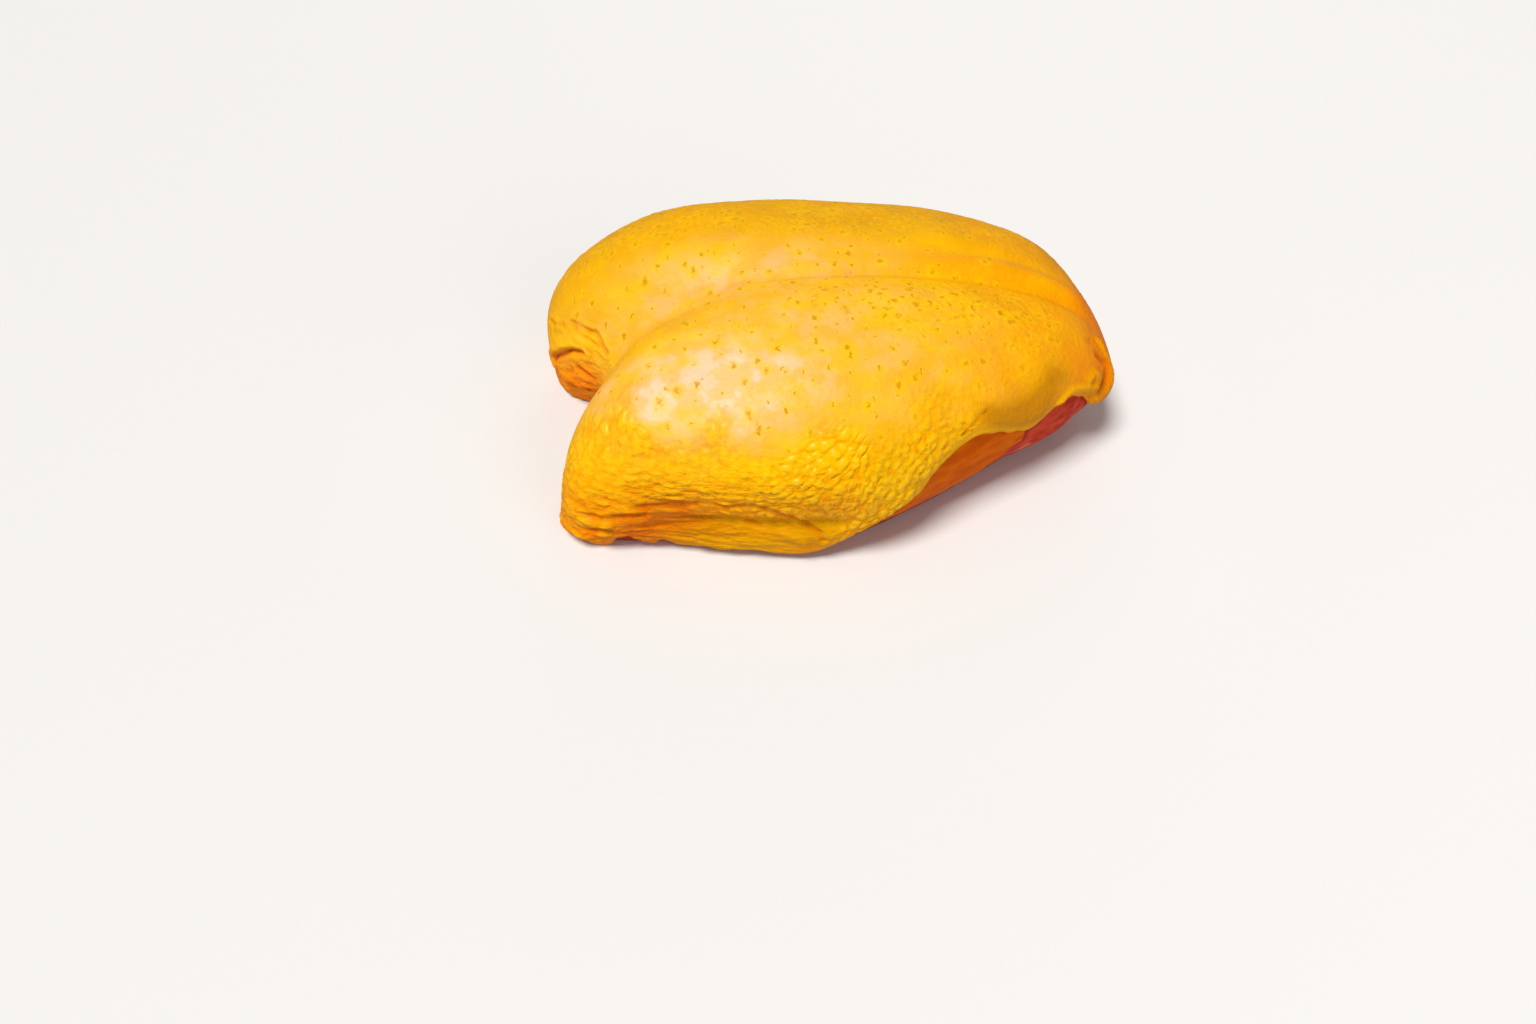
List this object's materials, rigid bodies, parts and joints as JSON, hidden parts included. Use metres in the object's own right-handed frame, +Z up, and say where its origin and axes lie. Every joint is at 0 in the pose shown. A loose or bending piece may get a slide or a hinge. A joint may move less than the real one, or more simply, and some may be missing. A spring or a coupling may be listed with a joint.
{
  "type": "raw double chicken breast with skin",
  "caption": "Raw yellow-skinned double chicken breast lying keel up, skin on, with wing stumps, a cut flank showing fat membrane and pink flesh.",
  "frame": {"origin": "middle of the footprint, on the surface that the piece lies on", "axes": "+X along the keel towards the tail end, +Y towards the far breast half, +Z up from the resting surface"},
  "size_m": [0.2372, 0.1687, 0.0763],
  "materials": {
    "flesh": "wet raw flesh",
    "fat": "smooth wet fat membrane",
    "skin": "moist yellow skin with goose bumps"
  },
  "bodies": {
    "root": {"flesh": "flesh", "fat_membrane": "fat", "skin": "skin"}
  },
  "joints": []
}
